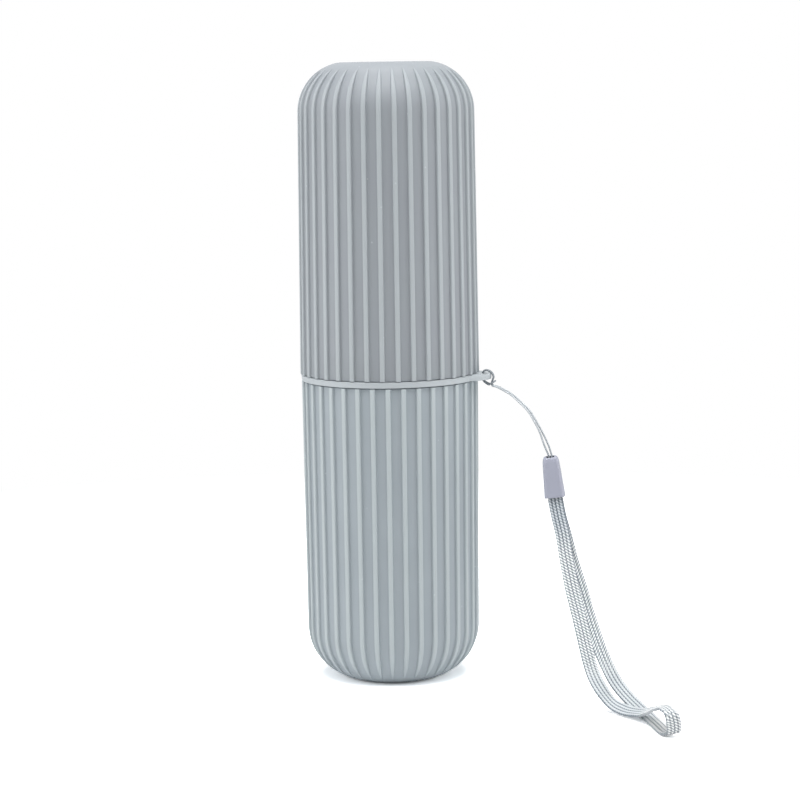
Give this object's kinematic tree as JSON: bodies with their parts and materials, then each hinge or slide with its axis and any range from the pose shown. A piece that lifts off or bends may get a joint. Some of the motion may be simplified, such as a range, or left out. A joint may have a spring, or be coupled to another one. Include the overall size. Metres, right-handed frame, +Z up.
{
  "type": "toothbrush travel case",
  "caption": "Tall capsule-shaped toothbrush case of two ribbed cups joined by a collar with an ear, and a wrist lanyard hitched to the ear.",
  "frame": {"origin": "centre of the flat foot that the case stands on, on the cups' axis", "axes": "+Z up along the cups' axis; +X towards the ear on the collar; -Y is the side that the picture sees"},
  "size_m": [0.1361, 0.1099, 0.21],
  "materials": {
    "cup_plastic": "fine matt, as moulded",
    "collar_plastic": "fine matt, as moulded",
    "cord_yarn": "smooth braided yarn",
    "strap_webbing": "woven yarn",
    "cap_plastic": "satin",
    "crimp_metal": "pressed strip"
  },
  "bodies": {
    "lower": {"lower_cup": "cup_plastic"},
    "collar": {"joining_collar": "collar_plastic", "hitch_cord": "cord_yarn", "wrist_strap": "strap_webbing", "cord_cap": "cap_plastic", "cord_crimp": "crimp_metal"},
    "lid": {"upper_cup": "cup_plastic"}
  },
  "joints": [
    {"name": "collar_turn", "type": "hinge", "parent": "lower", "child": "collar", "pos_m": [0, 0, 0.10375], "axis": [0, 0, 1], "continuous": true},
    {"name": "lid_pull", "type": "slide", "parent": "collar", "child": "lid", "axis": [0, 0, 1], "range_m": [0, 0.1]}
  ]
}
